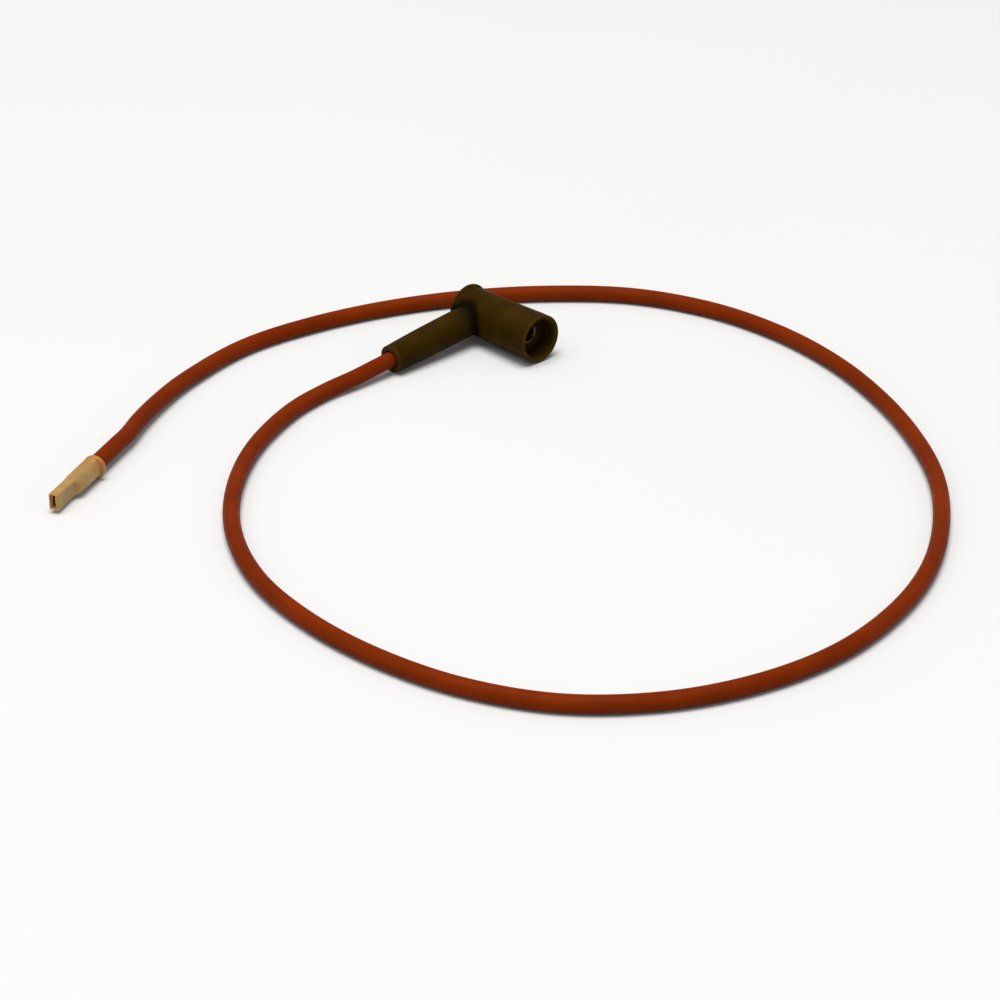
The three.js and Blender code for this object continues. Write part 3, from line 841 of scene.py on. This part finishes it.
def make_socket(look):
    """A turned socket with a crimp tube at its back, and two crossed saw cuts that leave four fingers."""
    matrix = Matrix.Translation((0, AXIS_Y, AXIS_Z))
    points = [
        (CRIMP_FLOOR_X, 0),
        (CRIMP_FLOOR_X, CRIMP_TUBE_BORE_R),
        (CRIMP_BACK_X, CRIMP_TUBE_BORE_R),
        (CRIMP_BACK_X, CRIMP_TUBE_R),
        (SOCKET_BACK_X, CRIMP_TUBE_R),
        (SOCKET_BACK_X, SOCKET_R),
        (GROOVE_X - GROOVE_HALF, SOCKET_R),
        (GROOVE_X - GROOVE_HALF, GROOVE_R),
        (GROOVE_X + GROOVE_HALF, GROOVE_R),
        (GROOVE_X + GROOVE_HALF, SOCKET_R),
        (SOCKET_FRONT_X, SOCKET_R),
        (SOCKET_FRONT_X, STUD_R + 0.35 * MM),
        (SOCKET_FRONT_X - 0.6 * MM, STUD_R),
        (STUD_HOLE_BACK_X, STUD_R),
        (STUD_HOLE_BACK_X, 0),
    ]
    radii = {3: 0.3 * MM, 4: 0.4 * MM, 5: 0.5 * MM, 10: 0.35 * MM, 11: 0.2 * MM, 12: 0.3 * MM, 13: 0.5 * MM}
    body = lathe("socket_body", round_corners(points, radii), 96, matrix)
    half_width, reach = 0.4 * MM, 6 * MM
    outline = [(-half_width, -reach), (half_width, -reach), (half_width, reach), (-half_width, reach)]
    cuts = []
    for angle in (45, -45):
        turned = matrix @ Matrix.Rotation(math.radians(angle), 4, "X")
        cuts.append(extrude(f"cut_{angle}", outline, GROOVE_X - 2 * MM, SOCKET_FRONT_X + 1 * MM, turned))
    mesh = combined(body, cuts, "DIFFERENCE")
    return piece("socket", mesh, look, "lead", ["snap_socket"])


def make_spring(look):
    """A wire ring in the socket's groove, open over 60 degrees."""
    path = []
    for i in range(73):
        angle = math.radians(30 + 300 * i / 72)
        y, z = SPRING_RING_R * math.cos(angle), SPRING_RING_R * math.sin(angle)
        path.append(Vector((GROOVE_X, AXIS_Y + y, AXIS_Z + z)))
    mesh = sweep("spring_wire", path, SPRING_WIRE_R, 16)
    return piece("socket_spring", mesh, look, "lead", ["retaining_spring"])


# ---------------------------------------------------------------- the lead and its stripped ends

def make_lead(look):
    """The jacket: one piece from the boot's sleeve to its cut end in the cover, and one inside the boot."""
    path = smooth_path(ROUTE, ROUTE_STEP)
    lead = piece(
        "lead", sweep("lead_tube", path, JACKET_R, 40, edge=0.25 * MM), look, "lead",
        ["free_lead", "tail_lead_jacket"],
    )
    in_boot = [on_sleeve(BOOT_JACKET_CUT), on_sleeve(SLEEVE_LENGTH - BOOT_JOIN - JOIN_GAP)]
    piece(
        "lead_in_boot", sweep("in_boot_tube", in_boot, JACKET_R, 40), look, "lead",
        ["boot_lead_jacket"],
    )
    return lead, path


def strand_meshes(matrix, x0, x1, clockwise):
    """A middle strand and six more laid round it in a helix, each with its number."""
    lay = 18 * MM
    for i in range(STRAND_COUNT):
        ring = 0 if i == 0 else STRAND_PITCH_R
        path = []
        for step in range(13):
            x = x0 + (x1 - x0) * step / 12
            angle = TURN * i / (STRAND_COUNT - 1) + clockwise * TURN * (x - x0) / lay
            path.append(matrix @ Vector((x, ring * math.cos(angle), ring * math.sin(angle))))
        yield i + 1, sweep(f"strand_{i + 1}", path, STRAND_R, 12, edge=0.05 * MM)


def braid_mesh(name, matrix, x0, x1):
    """A woven sleeve: ends of glass yarn that cross over and under each other round the insulation."""
    carriers, margin, ring = 10, 0.26 * MM, 2.2 * MM
    yarn_r, pitch = margin * 0.75, 16 * MM
    vertices, faces, uvs = [], [], []
    for way in (1, -1):
        for carrier in range(carriers):
            path = []
            for step in range(9):
                x = x0 + margin + (x1 - x0 - 2 * margin) * step / 8
                angle = TURN * carrier / carriers + way * TURN * (x - x0) / pitch
                over = 0.1 * MM * way * math.cos(carriers * angle * 2)
                r = ring + over
                path.append(matrix @ Vector((x, r * math.cos(angle), r * math.sin(angle))))
            mesh = sweep("yarn", path, yarn_r, 8)
            offset = len(vertices)
            vertices += [v.co.copy() for v in mesh.vertices]
            layer = mesh.uv_layers["flow"]
            for polygon in mesh.polygons:
                faces.append([offset + v for v in polygon.vertices])
                uvs.append([tuple(layer.data[c].uv) for c in polygon.loop_indices])
            bpy.data.meshes.remove(mesh)
    return mesh_from(name, vertices, faces, uvs)


def make_strands(look):
    boot_span = (CRIMP_BACK_X, CRIMP_FLOOR_X - 0.4 * MM)
    ends = (
        ("boot", Matrix.Translation((0, AXIS_Y, AXIS_Z)), boot_span, 1),
        ("tail", along(on_cover_axis(0, NOSE_OFFSET), COVER_BACK), TAIL_STRAND_SPAN, -1),
    )
    for prefix, matrix, span, clockwise in ends:
        for number, mesh in strand_meshes(matrix, *span, clockwise):
            node = f"{prefix}_strand_{number}"
            piece(f"{prefix}_wire_{number}", mesh, look, "lead", [node])


def make_braids(look):
    ends = (
        ("boot", along(ELBOW, SLEEVE_WAY), BOOT_BRAID_SPAN),
        ("tail", along(COVER_TIP, COVER_BACK), TAIL_BRAID_SPAN),
    )
    for prefix, matrix, span in ends:
        mesh = braid_mesh(f"{prefix}_weave", matrix, *span)
        piece(f"{prefix}_braid", mesh, look, "lead", [f"{prefix}_lead_braid"])


def make_insulation(look):
    """In the boot it bends from the sleeve's axis to the barrel's. In the cover it slants over to the
    receptacle, which lies to one side of the lead's axis."""
    start, end = on_sleeve(BOOT_INSULATION_FROM), Vector((CRIMP_BACK_X - 0.3 * MM, AXIS_Y, AXIS_Z))
    bend = [start * (1 - t) ** 2 + ELBOW * 2 * t * (1 - t) + end * t**2 for t in np.linspace(0, 1, 40)]
    front, back = TAIL_INSULATION_SPAN
    slant = [
        on_cover_axis(front, NOSE_OFFSET),
        on_cover_axis(18.8 * MM, NOSE_OFFSET),
        on_cover_axis(22.2 * MM, NOSE_OFFSET / 2),
        on_cover_axis(back),
    ]
    for prefix, path in (("boot", bend), ("tail", smooth_path(slant, 0.6 * MM))):
        mesh = sweep(f"{prefix}_core", path, INSULATION_R, 24, edge=0.1 * MM)
        name, node = f"{prefix}_insulation", f"{prefix}_lead_insulation"
        piece(name, mesh, look, "lead", [node])


# ---------------------------------------------------------------- receptacle and cover

def arc(radius, start, end, steps=40):
    """Points round the origin from one angle to another, in degrees."""
    angles = [math.radians(start + (end - start) * i / steps) for i in range(steps + 1)]
    return [(radius * math.cos(angle), radius * math.sin(angle)) for angle in angles]


def crimp_outline(inner, outer, seam):
    """A sheet rolled round a wire until its edges nearly meet, seam degrees apart on the -Y side."""
    start, end = 180 + seam / 2, 540 - seam / 2
    return arc(outer, start, end) + arc(inner, end, start)


def make_receptacle(look):
    """Base on the +Y side, level with the crimps' outside, and its two edges rolled over toward -Y."""
    matrix = along(on_cover_axis(0, NOSE_OFFSET), COVER_BACK)
    base = CRIMP_R - SHEET / 2
    far = CRIMP_R - BOX_THICK + SHEET / 2
    top = BOX_HALF_TALL - SHEET / 2
    lip_y, lip_z = 0.16 * MM, 0.65 * MM
    upper = [(lip_y, lip_z), (far, lip_z), (far, top), (base, top)]
    middle_line = upper + [(y, -z) for y, z in reversed(upper)]
    roll, fold, bend = 0.62 * MM, 0.3 * MM, 0.28 * MM
    radii = {1: fold, 2: roll, 3: bend, 4: bend, 5: roll, 6: fold}
    section = ribbon(round_corners(middle_line, radii, 6), SHEET)
    box = extrude("blade_box", section, *BOX_SPAN, matrix)

    # The floor of the box narrows to the conductor's crimp, and a neck joins that to the insulation's grip.
    half = 0.8 * MM
    wide, narrow = 2.3 * MM, 0.9 * MM
    front_outline = [(7.4 * MM, -wide), (9.3 * MM, -narrow), (10.5 * MM, -half)]
    front_outline += [(x, -z) for x, z in reversed(front_outline)]
    front_neck = plate("front_neck", front_outline, base - SHEET / 2, base + SHEET / 2 - 0.004 * MM, matrix)
    rear_outline = [(12.9 * MM, -half), (15.3 * MM, -half), (15.3 * MM, half), (12.9 * MM, half)]
    rear_neck = plate("rear_neck", rear_outline, GRIP_R - SHEET, GRIP_R - 0.004 * MM, matrix)
    crimp = extrude("crimp", crimp_outline(CRIMP_R - SHEET, CRIMP_R, 12), *CRIMP_SPAN, matrix)
    grip = extrude("grip", crimp_outline(GRIP_R - SHEET, GRIP_R, 20), *GRIP_SPAN, matrix)
    mesh = combined(box, [front_neck, rear_neck, crimp, grip], "UNION")
    return piece("contact", mesh, look, "lead", ["receptacle"], sharp=30)


def make_cover(look):
    """A thin hollow shell. Its sections, in millimetres, run along the outside from the tip's edge to
    the collar, and then along the inside from the collar to the tip's opening."""
    nose, pocket = NOSE_LENGTH / MM, POCKET_LENGTH / MM
    end = COVER_LENGTH / MM
    collar = end - COLLAR_LENGTH / MM
    aside, shift = NOSE_OFFSET / MM, COLLAR_OFFSET / MM
    opening = aside + (CRIMP_R - BOX_THICK / 2) / MM
    outside = [
        (0, aside, 1.93, 3.43, 0.55),
        (0.12, aside, 2.05, 3.55, 0.64),
        (0.35, aside, 2.1, 3.6, 0.68),
        (nose - 2.6, aside, 2.1, 3.6, 0.68),
        (nose - 2.0, 0.94 * aside, 2.16, 3.6, 0.75),
        (nose - 1.6, 0.78 * aside, 2.4, 3.65, 1.1),
        (nose - 1.2, 0.47 * aside, 2.95, 3.75, 2.0),
        (nose - 0.8, 0.18 * aside, 3.75, 3.98, 3.5),
        (nose - 0.2, 0.02 * aside, 4.2, 4.18, 4.1),
        (nose + 1.5, 0, 4.31, 4.31, 4.3),
        (nose + 6, 0, 4.38, 4.38, 4.3),
        (collar - 0.4, 0, 4.4, 4.4, 4.35),
        (collar - 0.1, 0.5 * shift, 4.6, 4.56, 4.5),
        (collar + 0.15, shift, 4.86, 4.96, 4.8),
        (collar + 0.45, shift, 5.0, 5.1, 4.95),
        (end - 0.5, shift, 5.0, 5.1, 4.95),
        (end - 0.15, shift, 4.9, 5.0, 4.85),
        (end, shift, 4.68, 4.78, 4.6),
    ]
    inside = [
        (end, 0, 4.3, 4.3, 4.2),
        (end - 0.35, 0, 4.05, 4.05, 4.0),
        (end - 1.0, 0, 3.9, 3.9, 3.85),
        (pocket + 0.4, 0, 3.9, 3.9, 3.85),
        (pocket + 0.1, 0.2, 3.1, 3.5, 2.6),
        (pocket, aside - 0.15, 1.85, 2.95, 0.4),
        (14.5, aside - 0.15, 1.85, 2.95, 0.4),
        (14.3, aside, 1.7, 2.95, 0.4),
        (1.25, aside, 1.7, 2.95, 0.3),
        (1.2, opening, 1.25, 2.95, 0.28),
        (0.3, opening, 1.2, 2.95, 0.25),
        (0.08, opening, 1.23, 2.98, 0.27),
        (0, opening, 1.3, 3.05, 0.32),
    ]
    sections = [tuple(value * MM for value in section) for section in outside + inside]
    mesh = loft("cover_shell", sections, along(COVER_TIP, COVER_BACK))
    # The jacket showing faintly through the nylon where it lies inside the cover is painted into the
    # nylon's colour as an orange tint.
    layer = mesh.attributes.new("lead_inside", "FLOAT", "POINT")
    depths = [(vertex.co - COVER_TIP).dot(COVER_BACK) - TAIL_JACKET_CUT for vertex in mesh.vertices]
    layer.data.foreach_set("value", [max(0.0, min(1.0, 0.5 + depth / (4 * MM))) for depth in depths])
    return piece("cover", mesh, look, "cover", ["terminal_cover"], sharp=50)


# ---------------------------------------------------------------- assembly

make_camera()
make_world(strength=0.45)
make_light("overhead", azimuth=20, elevation=84, distance=4.0, size=2.8, power=166)
make_light("key", azimuth=-30, elevation=50, distance=4.0, size=1.8, power=12, warmth=0.3)

make_floor()

looks = {
    "jacket": jacket_look(),
    "boot": boot_look(),
    "nylon": nylon_look(),
    "brass": metal_look("plated_brass", srgb(214, 205, 180), srgb(168, 148, 104), 0.22, 0.42),
    "nickel": metal_look("plated_socket", srgb(112, 100, 92), srgb(66, 54, 46), 0.36, 0.52),
    "steel": metal_look("spring_steel", srgb(190, 191, 194), srgb(140, 140, 144), 0.2, 0.36),
    "copper": metal_look("tinned_copper", srgb(206, 202, 196), srgb(176, 150, 128), 0.25, 0.45),
    "braid": braid_look(),
    "insulation": insulation_look(),
}

lead, lead_path = make_lead(looks["jacket"])
make_boot(looks["boot"])
make_socket(looks["nickel"])
make_spring(looks["steel"])
make_strands(looks["copper"])
make_braids(looks["braid"])
make_insulation(looks["insulation"])
make_receptacle(looks["brass"])
make_cover(looks["nylon"])

[tuple(p) for p in lead_path]
